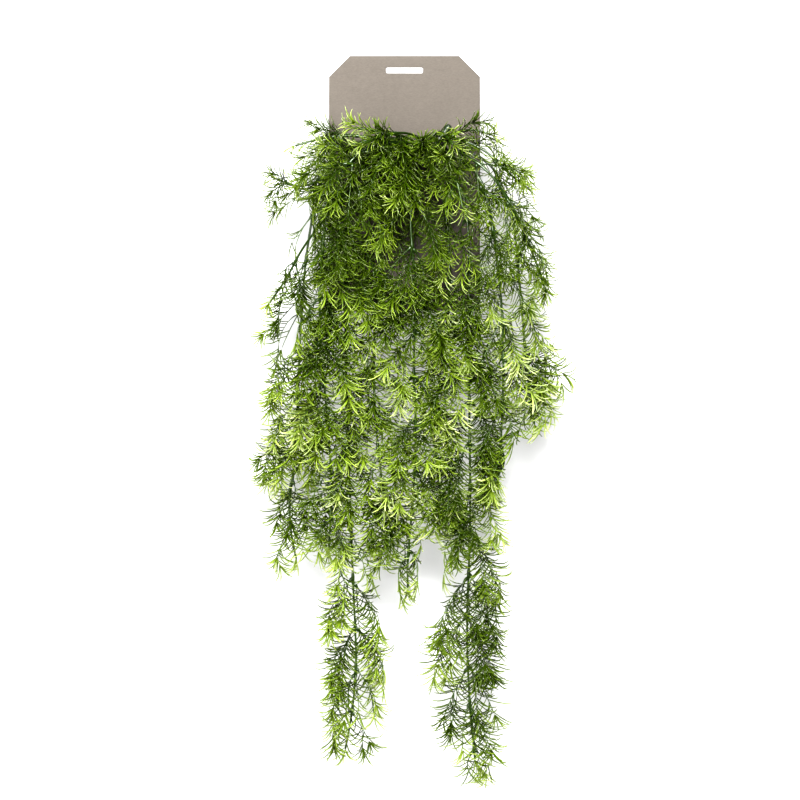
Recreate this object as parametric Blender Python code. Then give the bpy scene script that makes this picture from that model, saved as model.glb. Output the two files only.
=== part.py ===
"""Sprengeri asparagus fern: an artificial trailing bush, tied to the card that it hangs by.

Metres, +Z up, the card's front towards -Y. The origin is the middle of the hanging slot's upper edge,
half way through the card, where a peg carries the weight. Lengths are in millimetres up to the point
where a mesh is made. A place on the bush is written (right, out, down): to the right of the slot's
middle, out from the card's front and down from the slot's upper edge.
"""

import math

import bpy
import numpy as np

MM = 0.001
GAP = 0.3  # left between pieces that rest on each other

# Card
CARD_WIDTH = 151.0
CARD_HEIGHT = 254.5
CARD_THICKNESS = 1.5
CORNER_CUT = 21.0
CARD_TOP_TO_SLOT = 11.5
SLOT_WIDTH = 37.0
SLOT_HEIGHT = 6.0
SLOT_CORNER = 1.8

# Neck: a trunk that lies on the card, and the knob at its lower end that the stems leave
KNOB_RADIUS = 9.5
KNOB = (22.0, KNOB_RADIUS + GAP, 90.0)
TRUNK_RADIUS = 3.4
TRUNK_LENGTH = 40.0
TRUNK_SLANT = math.radians(36)  # from upright, towards the right
NECK_SIDES = 14

# Cable tie round the trunk and through two holes in the card
TIE_ALONG = 22.0  # from the knob's middle, along the trunk
TIE_WIDTH = 3.6
TIE_THICKNESS = 1.2
TIE_HEAD = (4.9, 6.4, 4.6)
HEAD_MIDDLE = -2.2  # out from the trunk's middle line
TIE_TAIL = 7.0

# Leafy stems
STEM_RADIUS = (1.5, 1.2)
STEM_STEP = 30.0
STEM_SIDES = 4
START_SPACING = 4.8
STATION_STEP = 44.0
FIRST_STATION = 30.0
SPRAY_RADIUS = (0.8, 1.1, 0.85)
SPRAY_RINGS = (0, 0.45, 0.85)  # shares of the spray's length; its last needles reach on to the tip
SPRAY_SIDES = 3
SPRAY_DROOP = 0.28
NEEDLE_LENGTH = 16.5
NEEDLE_RADIUS = 0.5
NEEDLE_SHARES = (0.36, 0.64, 0.8)
STEM_TIP_NEEDLES = (0.3, 0.62, 0.8)
CLEARANCE = 0.5
TRIES = 30
SEED = 11

# Each stem's route from the knob, the length of its sprays, and the sprays that reach further out, each
# written as its share of the way along the stem and its tip
STEMS = {
    "stem_left_brow": dict(
        route=[(-4, 13, 80), (-40, 12, 70), (-74, 14, 71), (-96, 15, 75), (-110, 16, 80)],
        spray=32,
        reach=[(0.50, (-92, 16, 54)), (0.60, (-95, 13, 99))],
    ),
    "stem_left_top": dict(
        route=[(2, 30, 73), (-26, 38, 67), (-52, 42, 64)],
        spray=22,
        reach=[],
    ),
    "stem_left_outer": dict(
        route=[
            (-8, 40, 76), (-50, 46, 82), (-84, 42, 130), (-98, 36, 200), (-104, 31, 290),
            (-108, 27, 380), (-114, 25, 445), (-107, 24, 492),
        ],
        spray=54,
        reach=[(0.47, (-152, 22, 268)), (0.59, (-147, 20, 333)), (0.71, (-153, 20, 392))],
    ),
    "stem_left_spread": dict(
        route=[(-10, 52, 88), (-50, 62, 92), (-90, 52, 121), (-116, 42, 118), (-128, 38, 114)],
        spray=32,
        reach=[(0.66, (-128, 40, 148))],
    ),
    "stem_left_sweep": dict(
        route=[
            (-2, 64, 98), (-46, 78, 112), (-76, 70, 152), (-100, 56, 184), (-116, 46, 212), (-134, 40, 238),
        ],
        spray=36,
        reach=[(0.88, (-124, 42, 252))],
    ),
    "stem_left_fill": dict(
        route=[
            (4, 64, 80), (-44, 86, 92), (-72, 84, 140), (-82, 74, 210), (-82, 62, 280), (-76, 52, 350),
            (-72, 44, 420), (-75, 38, 480),
        ],
        spray=54,
        reach=[],
    ),
    "stem_left_long": dict(
        route=[
            (-6, 34, 104), (-36, 56, 116), (-54, 62, 160), (-58, 56, 230), (-57, 46, 320), (-54, 40, 420),
            (-51, 34, 510), (-48, 30, 590), (-52, 28, 640), (-59, 27, 680),
        ],
        spray=64,
        reach=[],
    ),
    "stem_inner_left": dict(
        route=[
            (3, 26, 116), (-16, 36, 152), (-28, 38, 230), (-30, 36, 320), (-24, 34, 400), (-14, 32, 460),
            (-10, 31, 482),
        ],
        spray=54,
        reach=[],
    ),
    "stem_centre": dict(
        route=[
            (15, 56, 104), (6, 70, 150), (11, 62, 232), (9, 52, 300), (11, 44, 360), (8, 38, 430),
            (3, 32, 495), (3, 30, 520),
        ],
        spray=54,
        reach=[],
    ),
    "stem_front_left": dict(
        route=[(8, 56, 72), (-16, 84, 74), (-42, 102, 86)],
        spray=24,
        reach=[],
    ),
    "stem_front_low": dict(
        route=[(24, 48, 124), (10, 78, 126), (-8, 92, 140)],
        spray=24,
        reach=[],
    ),
    "stem_front_right": dict(
        route=[(28, 54, 74), (38, 78, 72), (48, 92, 86)],
        spray=22,
        reach=[],
    ),
    "stem_front_right_low": dict(
        route=[(34, 50, 108), (48, 76, 114), (57, 82, 148)],
        spray=26,
        reach=[],
    ),
    "stem_inner_right": dict(
        route=[
            (34, 27, 118), (42, 38, 162), (44, 40, 230), (36, 38, 300), (29, 36, 370), (36, 34, 430),
            (35, 33, 456),
        ],
        spray=50,
        reach=[],
    ),
    "stem_right_long": dict(
        route=[
            (42, 20, 100), (58, 32, 130), (64, 40, 190), (64, 40, 260), (64, 37, 350), (65, 33, 450),
            (62, 30, 550), (64, 28, 622), (70, 27, 691),
        ],
        spray=76,
        reach=[(0.95, (76, 25, 698))],
    ),
    "stem_right_mid": dict(
        route=[(48, 42, 94), (76, 58, 120), (90, 56, 190), (97, 48, 270), (96, 42, 350), (93, 37, 412)],
        spray=52,
        reach=[],
    ),
    "stem_right_fall": dict(
        route=[(46, 58, 88), (80, 74, 108), (108, 66, 150), (127, 54, 192), (140, 44, 228)],
        spray=42,
        reach=[(0.62, (134, 48, 165)), (0.78, (148, 44, 194))],
    ),
    "stem_right_outer": dict(
        route=[(44, 18, 84), (82, 24, 96), (106, 29, 150), (115, 30, 230), (121, 29, 300), (129, 27, 358)],
        spray=50,
        reach=[(0.64, (152, 26, 277)), (0.75, (169, 25, 306)), (0.83, (152, 25, 342))],
    ),
    "stem_right_spread": dict(
        route=[(40, 36, 74), (74, 44, 84), (104, 42, 110), (126, 36, 127)],
        spray=34,
        reach=[(0.66, (127, 32, 103))],
    ),
    "stem_right_high": dict(
        route=[(38, 26, 74), (56, 30, 66), (74, 34, 66), (88, 35, 71)],
        spray=22,
        reach=[],
    ),
}

# Each finish: its colour and its roughness
FINISHES = {
    "greyboard": ((0.38, 0.33, 0.28), 0.85),
    "dark_plastic": ((0.03, 0.05, 0.02), 0.5),
    "black_nylon": ((0.01, 0.01, 0.01), 0.4),
    "foliage": ((0.10, 0.22, 0.02), 0.42),
}


def clear_scene():
    for obj in list(bpy.data.objects):
        bpy.data.objects.remove(obj)


def material(name):
    """A plain finish of the colour and roughness that FINISHES gives."""
    made = bpy.data.materials.new(name)
    made.use_nodes = True
    colour, roughness = FINISHES[name]
    shader = made.node_tree.nodes["Principled BSDF"]
    shader.inputs["Base Color"].default_value = (*colour, 1.0)
    shader.inputs["Roughness"].default_value = roughness
    return made


def place(right, out, down):
    """A place on the bush as X, Y and Z, in millimetres."""
    return np.array([right, -(CARD_THICKNESS / 2 + out), -down], float)


def unit(vector):
    return vector / np.linalg.norm(vector, axis=-1, keepdims=True)


def mesh_object(name, points, faces, finish=None, collection=None):
    """An object from points in millimetres and faces."""
    mesh = bpy.data.meshes.new(name)
    mesh.from_pydata([tuple(p) for p in np.asarray(points) * MM], [], faces)
    mesh.update()
    if finish:
        mesh.materials.append(finish)
    obj = bpy.data.objects.new(name, mesh)
    (collection or bpy.context.scene.collection).objects.link(obj)
    return obj


def helper_collection():
    made = bpy.data.collections.new("helpers")
    bpy.context.scene.collection.children.link(made)
    return made


def combined(base, helpers, operation):
    """base joined with the helpers, or cut by them, and the helpers removed."""
    boolean = base.modifiers.new("combined", "BOOLEAN")
    boolean.operation = operation
    boolean.solver = "EXACT"
    boolean.operand_type = "COLLECTION"
    boolean.collection = helpers
    graph = bpy.context.evaluated_depsgraph_get()
    mesh = bpy.data.meshes.new_from_object(base.evaluated_get(graph))
    base.modifiers.clear()
    old, base.data = base.data, mesh
    name = old.name
    bpy.data.meshes.remove(old)
    mesh.name = name
    for obj in list(helpers.objects):
        bpy.data.objects.remove(obj)
    bpy.data.collections.remove(helpers)
    return base


# Curves and tubes

def run_of(path):
    """The length along the path at each of its points."""
    return np.concatenate([[0], np.cumsum(np.linalg.norm(np.diff(path, axis=0), axis=1))])


def evenly(path, steps):
    """The path cut into equal steps."""
    along = run_of(path)
    at = np.linspace(0, along[-1], steps + 1)
    return np.stack([np.interp(at, along, path[:, i]) for i in range(3)], axis=1)


def smooth_through(points, spacing):
    """Points about spacing apart on a Catmull-Rom curve through the given ones."""
    given = np.asarray(points, float)
    ends = np.vstack([2 * given[0] - given[1], given, 2 * given[-1] - given[-2]])
    t = np.linspace(0, 1, 12, endpoint=False)[:, None]
    spans = [
        0.5 * (2 * b + (c - a) * t + (2 * a - 5 * b + 4 * c - d) * t**2 + (3 * b - a - 3 * c + d) * t**3)
        for a, b, c, d in zip(ends, ends[1:], ends[2:], ends[3:])
    ]
    dense = np.vstack([*spans, given[-1:]])
    return evenly(dense, max(3, round(run_of(dense)[-1] / spacing)))


def at_run(path, run):
    """The point on the path at that length along it, and the path's direction there."""
    along = run_of(path)
    run = min(run, along[-1] - 1)
    here, before, after = (
        np.array([np.interp(r, along, path[:, i]) for i in range(3)]) for r in (run, run - 2, run + 2)
    )
    return here, unit(after - before)


def bent(start, direction, tip):
    """A path from start, in the given direction, that bends over to tip; its points are at SPRAY_RINGS."""
    knee = start + direction * 0.45 * np.linalg.norm(tip - start)
    t = np.array(SPRAY_RINGS)[:, None]
    return (1 - t) ** 2 * start + 2 * t * (1 - t) * knee + t**2 * tip


def normal_of(path):
    """A direction at right angles to the plane that the path bends in."""
    normal = np.cross(path[1] - path[0], path[-1] - path[1])
    return unit(normal) if np.linalg.norm(normal) > 0.01 else np.array([0.3, 0.95, 0.1])


def across(direction, normal):
    """Two directions square to that one and to each other, the second as near to normal as can be."""
    second = unit(normal - direction * (direction @ normal))
    return np.cross(second, direction), second


def tube(path, radii, sides, pointed=False):
    """Points and faces of a closed tube along the path, which ends in a point if pointed."""
    normal = normal_of(path)
    turn = 2 * math.pi * np.arange(sides) / sides
    points = []
    for centre, direction, radius in zip(path, unit(np.gradient(path, axis=0)), radii):
        side, normal = across(direction, normal)
        points.append(centre + radius * (np.outer(np.cos(turn), side) + np.outer(np.sin(turn), normal)))
    if pointed:
        points[-1] = path[-1:]
    rings = len(path) - pointed
    faces = [
        (r * sides + k, r * sides + (k + 1) % sides, (r + 1) * sides + (k + 1) % sides, (r + 1) * sides + k)
        for r in range(rings - 1)
        for k in range(sides)
    ]
    faces.append(tuple(reversed(range(sides))))
    last = (rings - 1) * sides
    if pointed:
        faces += [(last + k, last + (k + 1) % sides, last + sides) for k in range(sides)]
    else:
        faces.append(tuple(last + k for k in range(sides)))
    return np.vstack(points), faces


# Room between the stems

def segment_distance(a, b, c, d):
    """The least distance between each segment a-b and each segment c-d, as a table."""
    u, v = (b - a)[:, None], (d - c)[None]
    w = a[:, None] - c[None]
    uu, vv, uv = (u * u).sum(-1), (v * v).sum(-1), (u * v).sum(-1)
    uw, vw = (u * w).sum(-1), (v * w).sum(-1)
    s = np.clip((uv * vw - vv * uw) / np.maximum(uu * vv - uv**2, 1e-9), 0, 1)
    t = np.clip((uv * s + vw) / vv, 0, 1)
    s = np.clip((uv * t - uw) / uu, 0, 1)
    return np.linalg.norm(w + s[..., None] * u - t[..., None] * v, axis=-1)


class Room:
    """The segments that are taken, each with its radius and the numbers of its stem and of its axis."""

    def __init__(self):
        self.starts, self.ends = np.empty((0, 3)), np.empty((0, 3))
        self.radii, self.stems, self.axes = np.empty(0), np.empty(0, int), np.empty(0, int)

    def take(self, path, radius, stem, axis):
        count = len(path) - 1
        self.starts = np.vstack([self.starts, path[:-1]])
        self.ends = np.vstack([self.ends, path[1:]])
        self.radii = np.concatenate([self.radii, np.full(count, radius)])
        self.stems = np.concatenate([self.stems, np.full(count, stem)])
        self.axes = np.concatenate([self.axes, np.full(count, axis)])

    def is_clear(self, path, radius, others):
        """Whether the path is clear of those of the segments."""
        apart = segment_distance(path[:-1], path[1:], self.starts[others], self.ends[others])
        return bool((apart > self.radii[others] + radius + CLEARANCE).all())


def in_front(path, least):
    """Whether the path stays that far in front of the card's front, also beside the card."""
    return bool((-path[:, 1] - CARD_THICKNESS / 2 > least).all())


# The bush's plan

def trunk_direction():
    """Along the trunk, away from the knob."""
    return np.array([math.sin(TRUNK_SLANT), 0.0, math.cos(TRUNK_SLANT)])


def trunk_path():
    """The trunk's middle line: from inside the knob down to the card's face, then straight along it."""
    knob = place(*KNOB)
    lying = place(KNOB[0], TRUNK_RADIUS + GAP, KNOB[2])
    return np.array([knob, lying + 11 * trunk_direction(), lying + TRUNK_LENGTH * trunk_direction()])


def stem_routes():
    """The stems' smooth routes. They leave the knob towards their first points, pushed apart there."""
    knob = place(*KNOB)
    given = [np.array([place(*p) for p in stem["route"]]) for stem in STEMS.values()]
    leaving = unit(np.array([points[0] for points in given]) - knob)
    for _ in range(200):
        apart = leaving[:, None] - leaving[None]
        distance = np.linalg.norm(apart, axis=-1) + np.eye(len(leaving))
        push = np.clip(START_SPACING / KNOB_RADIUS - distance, 0, None) / distance
        push[np.eye(len(leaving), dtype=bool)] = 0
        leaving = unit(leaving + 0.3 * (push[..., None] * apart).sum(axis=1))
    starts = knob + (KNOB_RADIUS + GAP) * leaving
    bends = starts + 6 * leaving
    return [
        np.vstack([start, smooth_through([bend, *points], STEM_STEP)])
        for start, bend, points in zip(starts, bends, given)
    ]


def spray_path(route, run, turn, opening, length):
    """A side spray: it leaves the stem at an angle, at that turn round it, and droops towards its tip."""
    start, direction = at_run(route, run)
    forward = np.array([0.0, -1.0, 0.0])
    forward = unit(forward - direction * (forward @ direction) + np.array([0.0, 0.0, 1e-3]))
    right = np.cross(forward, direction)
    sideways = forward * math.cos(turn) + right * math.sin(turn)
    leaving = direction * math.cos(opening) + sideways * math.sin(opening)
    tip = start + length * unit(leaving - np.array([0, 0, SPRAY_DROOP]))
    return bent(start, leaving, tip)


def plan_bush():
    """Each stem's route, and the sprays. A spray is turned and shortened until it is clear of other stems."""
    draw = np.random.default_rng(SEED)
    room = Room()
    room.take(trunk_path(), TRUNK_RADIUS + 1.5, -1, -1)
    routes = stem_routes()
    for owner, route in enumerate(routes):
        room.take(route, STEM_RADIUS[0], owner, owner)
    sprays = []
    for owner, (stem, route) in enumerate(zip(STEMS.values(), routes)):
        for share, tip in stem["reach"]:
            start, direction = at_run(route, share * run_of(route)[-1])
            goal = place(*tip)
            path = bent(start, unit(unit(goal - start) + 0.5 * direction), goal)
            room.take(path, SPRAY_RADIUS[1], owner, len(routes) + len(sprays))
            sprays.append((owner, path))
    for owner, (stem, route) in enumerate(zip(STEMS.values(), routes)):
        length = run_of(route)[-1]
        for number, station in enumerate(np.arange(FIRST_STATION, length - 10, STATION_STEP)):
            for side in range(3 if number % 5 == 2 else 2):
                turn = (1, -1, 0)[side] * (1.25 + 0.35 * (number % 3 - 1)) + draw.uniform(-0.35, 0.35)
                opening = draw.uniform(0.55, 0.95)
                size = stem["spray"] * draw.uniform(0.8, 1.15) * (1 - 0.45 * (station / length) ** 4)
                run = station + draw.uniform(-5, 5)
                for attempt in range(TRIES):
                    path = spray_path(
                        route,
                        run + 1.5 * attempt,
                        turn + 0.25 * attempt * (-1) ** attempt,
                        opening + 0.1 * math.sin(2.4 * attempt),
                        size * 0.985**attempt,
                    )
                    if in_front(path, 3.0) and room.is_clear(path, SPRAY_RADIUS[1], room.stems != owner):
                        room.take(path, SPRAY_RADIUS[1], owner, len(routes) + len(sprays))
                        sprays.append((owner, path))
                        break
    return routes, sprays, room


def needle_path(path, share, face, turn):
    """A needle that leaves one of the axis's faces and leans towards the axis's tip."""
    here, direction = at_run(path, share / SPRAY_RINGS[-1] * run_of(path)[-1])
    side, other = across(direction, normal_of(path))
    angle = math.pi / 3 + face * 2 * math.pi / 3 + turn
    lean = 1.15 - 0.6 * share
    sideways = side * math.cos(angle) + other * math.sin(angle)
    return np.array([here, here + NEEDLE_LENGTH * (direction * math.cos(lean) + sideways * math.sin(lean))])


def plan_needles(routes, sprays, room):
    """Needles on each side of each stem's last stretch and of the sprays, where they cross nothing else."""
    axes = [(owner, route[-3:], STEM_TIP_NEEDLES) for owner, route in enumerate(routes)]
    axes += [(owner, path, NEEDLE_SHARES) for owner, path in sprays]
    needles = []
    for number, (owner, path, shares) in enumerate(axes):
        for k, share in enumerate(shares):
            for attempt in range(6):
                needle = needle_path(path, share, number + k + attempt, 0.25 * (attempt // 3))
                if in_front(needle, 1.0) and room.is_clear(needle, NEEDLE_RADIUS, room.axes != number):
                    room.take(needle, NEEDLE_RADIUS, owner, number)
                    needles.append((owner, needle))
                    break
    return needles


# The pieces

def box_between(low, high, collection):
    """A box helper from one corner to the other, in millimetres."""
    x, y, z = zip(low, high)
    points = [(x[i], y[j], z[k]) for k in (0, 1) for j in (0, 1) for i in (0, 1)]
    faces = [(0, 2, 3, 1), (4, 5, 7, 6), (0, 1, 5, 4), (1, 3, 7, 5), (3, 2, 6, 7), (2, 0, 4, 6)]
    return mesh_object("box", points, faces, None, collection)


def plate(name, outline, back, front, finish=None, collection=None):
    """A flat piece: an outline of (X, Z) points, anticlockwise from the front, between two values of Y."""
    count = len(outline)
    points = [(x, front, z) for x, z in outline] + [(x, back, z) for x, z in outline]
    faces = [tuple(range(count)), tuple(reversed(range(count, 2 * count)))]
    faces += [(k, count + k, count + (k + 1) % count, (k + 1) % count) for k in range(count)]
    return mesh_object(name, points, faces, finish, collection)


def tie_frame(helper):
    """Turns a helper made about the trunk's section at the tie, its Z along the trunk, into its place."""
    helper.rotation_euler = (0, TRUNK_SLANT, 0)
    middle = place(KNOB[0], TRUNK_RADIUS + GAP, KNOB[2]) + TIE_ALONG * trunk_direction()
    helper.location = middle * MM
    bpy.context.view_layer.update()
    return helper


def build_card(finish):
    """The header card: cut corners, a slot for a peg and two holes for the tie."""
    half, top = CARD_WIDTH / 2, CARD_TOP_TO_SLOT
    outline = [
        (-half, top - CARD_HEIGHT), (half, top - CARD_HEIGHT), (half, top - CORNER_CUT),
        (half - CORNER_CUT, top), (CORNER_CUT - half, top), (-half, top - CORNER_CUT),
    ]
    card = plate("card", outline, CARD_THICKNESS / 2, -CARD_THICKNESS / 2, finish)
    cutters = helper_collection()
    x, z = SLOT_WIDTH / 2 - SLOT_CORNER, SLOT_HEIGHT - SLOT_CORNER
    slot = []
    corners = [(x, -SLOT_CORNER), (-x, -SLOT_CORNER), (-x, -z), (x, -z)]
    for number, (corner_x, corner_z) in enumerate(corners):
        for step in range(5):
            angle = math.radians(90 * number + 22.5 * step)
            slot.append((corner_x + SLOT_CORNER * math.cos(angle), corner_z + SLOT_CORNER * math.sin(angle)))
    plate("slot", slot, CARD_THICKNESS, -CARD_THICKNESS, None, cutters)
    inner = TRUNK_RADIUS
    outer = TRUNK_RADIUS + TIE_THICKNESS + 2 * GAP
    half_width = TIE_WIDTH / 2 + GAP
    for low, high in ((inner, outer), (-outer, -inner)):
        tie_frame(box_between((low, 0, -half_width), (high, 12, half_width), cutters))
    return combined(card, cutters, "DIFFERENCE")


def build_neck(finish):
    """The trunk and its knob, moulded in one."""
    rings = 8
    angles = np.linspace(-0.5, 0.5, rings + 1)[1:-1] * math.pi
    around = 2 * math.pi * np.arange(NECK_SIDES) / NECK_SIDES
    knob = place(*KNOB)
    points = [knob - (0, 0, KNOB_RADIUS)]
    for angle in angles:
        level, height = KNOB_RADIUS * math.cos(angle), KNOB_RADIUS * math.sin(angle)
        points += [knob + (level * math.cos(a), level * math.sin(a), height) for a in around]
    points.append(knob + (0, 0, KNOB_RADIUS))
    n, last = NECK_SIDES, len(points) - 1
    faces = [(0, 1 + (k + 1) % n, 1 + k) for k in range(n)]
    for ring in range(rings - 2):
        low = 1 + ring * n
        faces += [(low + k, low + (k + 1) % n, low + n + (k + 1) % n, low + n + k) for k in range(n)]
    faces += [(last - n + k, last - n + (k + 1) % n, last) for k in range(n)]
    neck = mesh_object("bush_neck", points, faces, finish)
    helpers = helper_collection()
    mesh_object("trunk", *tube(trunk_path(), [TRUNK_RADIUS] * 3, NECK_SIDES), None, helpers)
    return combined(neck, helpers, "UNION")


def build_tie(finish):
    """A loop over the trunk, through the card and across its back, with its head and the tail's cut end."""
    inner = TRUNK_RADIUS + GAP
    outer = inner + TIE_THICKNESS
    back = CARD_THICKNESS + TRUNK_RADIUS + 2 * GAP
    arc = np.linspace(0, math.pi, 11)
    loop = []
    for radius, depth in ((inner, back), (outer, back + TIE_THICKNESS)):
        ring = [(radius, depth)]
        ring += [(radius * math.cos(a), -radius * math.sin(a)) for a in arc]
        ring.append((-radius, depth))
        loop.append(ring)
    count = len(loop[0])
    points = [(x, y, z) for z in (-TIE_WIDTH / 2, TIE_WIDTH / 2) for ring in loop for x, y in ring]
    faces = []
    for k in range(count):
        a, b = k, (k + 1) % count
        c, d = count + b, count + a
        faces += [
            (a, b, c, d),
            (2 * count + d, 2 * count + c, 2 * count + b, 2 * count + a),
            (b, a, 2 * count + a, 2 * count + b),
            (d, c, 2 * count + c, 2 * count + d),
        ]
    tie = mesh_object("tie", points, faces, finish)
    helpers = helper_collection()
    head_across, head_out, head_along = TIE_HEAD
    box_between(
        (-outer - head_across + 1, HEAD_MIDDLE - head_out / 2, -head_along / 2),
        (-outer + 1, HEAD_MIDDLE + head_out / 2, head_along / 2),
        helpers,
    )
    box_between(
        (-outer - 2, HEAD_MIDDLE - head_out / 2 - TIE_TAIL, 0.4 - TIE_WIDTH / 2),
        (-outer - 0.8, HEAD_MIDDLE, TIE_WIDTH / 2 - 0.4),
        helpers,
    )
    return tie_frame(combined(tie, helpers, "UNION"))


def build_bush(finish):
    """One node for each leafy stem: its stem, its sprays and their needles, in one solid."""
    routes, sprays, room = plan_bush()
    needles = plan_needles(routes, sprays, room)
    for owner, (name, route) in enumerate(zip(STEMS, routes)):
        stem = mesh_object(name, *tube(route, np.linspace(*STEM_RADIUS, len(route)), STEM_SIDES), finish)
        helpers = helper_collection()
        for mine, path in sprays:
            if mine == owner:
                mesh_object("spray", *tube(path, SPRAY_RADIUS, SPRAY_SIDES), None, helpers)
        for mine, path in needles:
            if mine == owner:
                mesh_object("needle", *tube(path, (NEEDLE_RADIUS, 0), 3, True), None, helpers)
        combined(stem, helpers, "UNION")
    print(len(sprays), "sprays,", len(needles), "needles")


def main():
    clear_scene()
    build_card(material("greyboard"))
    build_neck(material("dark_plastic"))
    build_tie(material("black_nylon"))
    build_bush(material("foliage"))


main()
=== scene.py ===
import math

import bmesh
import bpy
import numpy as np
from mathutils import Matrix, Vector


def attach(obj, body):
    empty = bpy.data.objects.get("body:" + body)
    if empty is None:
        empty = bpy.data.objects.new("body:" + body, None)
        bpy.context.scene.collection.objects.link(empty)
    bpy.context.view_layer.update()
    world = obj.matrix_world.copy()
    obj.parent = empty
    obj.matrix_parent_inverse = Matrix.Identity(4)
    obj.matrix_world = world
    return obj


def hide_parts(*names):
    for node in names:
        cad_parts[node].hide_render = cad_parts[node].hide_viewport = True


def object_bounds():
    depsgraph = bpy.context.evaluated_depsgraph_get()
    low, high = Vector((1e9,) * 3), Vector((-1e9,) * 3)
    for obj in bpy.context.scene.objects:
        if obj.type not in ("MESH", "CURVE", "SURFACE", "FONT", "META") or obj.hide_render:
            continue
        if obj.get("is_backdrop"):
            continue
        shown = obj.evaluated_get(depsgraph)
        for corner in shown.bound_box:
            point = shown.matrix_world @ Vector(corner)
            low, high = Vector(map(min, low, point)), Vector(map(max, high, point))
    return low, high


# A trailing artificial asparagus fern, tied to the card that it hangs by. Lengths are in millimetres up to the
# point where a mesh is made, and a place is (right, out, down) from the slot's upper edge and the card's front.

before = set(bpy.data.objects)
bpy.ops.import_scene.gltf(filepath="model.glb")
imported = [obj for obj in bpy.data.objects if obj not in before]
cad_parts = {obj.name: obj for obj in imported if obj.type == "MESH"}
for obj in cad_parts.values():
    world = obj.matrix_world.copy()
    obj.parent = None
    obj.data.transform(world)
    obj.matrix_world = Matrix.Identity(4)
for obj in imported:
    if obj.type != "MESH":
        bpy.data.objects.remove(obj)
cadLow, cadHigh = (np.array(corner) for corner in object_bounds())
print("frame:", len(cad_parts), "solids")

mm = 0.001
gap = 0.3  # between the trunk, the tie and the card, and between the knob and the stems


# Places, curves and frames

def place(right, out, down):
    # A place as X, Y and Z in millimetres
    return np.array([right, -(card["thickness"] / 2 + out), -down], float)


def unit(vectors):
    # Each vector divided by its own length
    return vectors / np.linalg.norm(vectors, axis=-1, keepdims=True)


def readOff(table, at, before=None):
    # The values there of a table of (place, value), in straight lines from one to the next
    return np.interp(at, *zip(*table), left=before)


def runOf(path):
    # The length along the path at each of its points: the sum of the steps before it
    return np.concatenate([[0], np.cumsum(np.linalg.norm(np.diff(path, axis=0), axis=1))])


def evenly(path, steps):
    # The path read off at equal lengths along it
    along = runOf(path)
    at = np.linspace(0, along[-1], steps + 1)
    return np.stack([np.interp(at, along, path[:, i]) for i in range(3)], axis=1)


def smoothThrough(points, spacing):
    # Catmull-Rom: between two points, the cubic whose slope at each is half the step from its neighbour before to
    # its neighbour after
    given = np.asarray(points, float)
    ends = np.vstack([2 * given[0] - given[1], given, 2 * given[-1] - given[-2]])
    t = np.linspace(0, 1, 12, endpoint=False)[:, None]
    spans = [
        0.5 * (2 * b + (c - a) * t + (2 * a - 5 * b + 4 * c - d) * t**2 + (3 * b - a - 3 * c + d) * t**3)
        for a, b, c, d in zip(ends, ends[1:], ends[2:], ends[3:])
    ]
    dense = np.vstack([*spans, given[-1:]])
    return evenly(dense, max(3, round(runOf(dense)[-1] / spacing)))


def atRun(path, run):
    # The point at that length along the path, and the direction from 2 mm before it to 2 mm after it
    along = runOf(path)
    run = min(run, along[-1] - 1)
    here, before, after = (
        np.array([np.interp(r, along, path[:, i]) for i in range(3)]) for r in (run, run - 2, run + 2)
    )
    return here, unit(after - before)


def bend(start, knee, tip, t):
    # The quadratic curve from start to tip that leaves towards knee: (1-t)(1-t) start + 2t(1-t) knee + tt tip, and
    # its direction: (1-t)(knee - start) + t(tip - knee), made one long
    line = (1 - t) ** 2 * start + 2 * t * (1 - t) * knee + t**2 * tip
    return line, unit((1 - t) * (knee - start) + t * (tip - knee))


def squareTo(direction, normal):
    # Two directions square to that one, the second as near to normal as can be
    second = unit(normal - direction * (direction * normal).sum(-1, keepdims=True))
    return np.cross(second, direction), second


# Meshes

def addObject(name, data):
    # An object in the scene, at the origin
    made = bpy.data.objects.new(name, data)
    bpy.context.scene.collection.objects.link(made)
    return made


def addPiece(name, mesh, nodes):
    # A finished piece on the only body, in place of the solids that it stands for
    piece = addObject(name, mesh)
    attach(piece, "root")
    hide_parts(*nodes)


def makePiece(name, points, faceSets, materials, nodes, slot, masks=None, materialIndex=None):
    # A piece from points in millimetres and arrays of faces, each array with its own number of corners
    mesh = bpy.data.meshes.new(name)
    mesh.from_pydata((points * mm).tolist(), [], [face for faces in faceSets for face in faces.tolist()])
    if materialIndex is not None:
        mesh.polygons.foreach_set("material_index", materialIndex.astype(np.int32))
    mesh.validate()
    mesh.shade_smooth()
    for mask, values in (masks or {}).items():
        mesh.attributes.new(mask, "FLOAT", "POINT").data.foreach_set("value", values.astype(np.float32))
    for material in materials:
        mesh.materials.append(material)
    addPiece(name, mesh, nodes)


def fourSided(ring, nextRing, side, after):
    # The faces between two rings: each corner is a ring's first point plus the side's number
    faces = np.stack([ring + side, ring + after, nextRing + after, nextRing + side], axis=-1)
    return faces.reshape(-1, 4)


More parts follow.
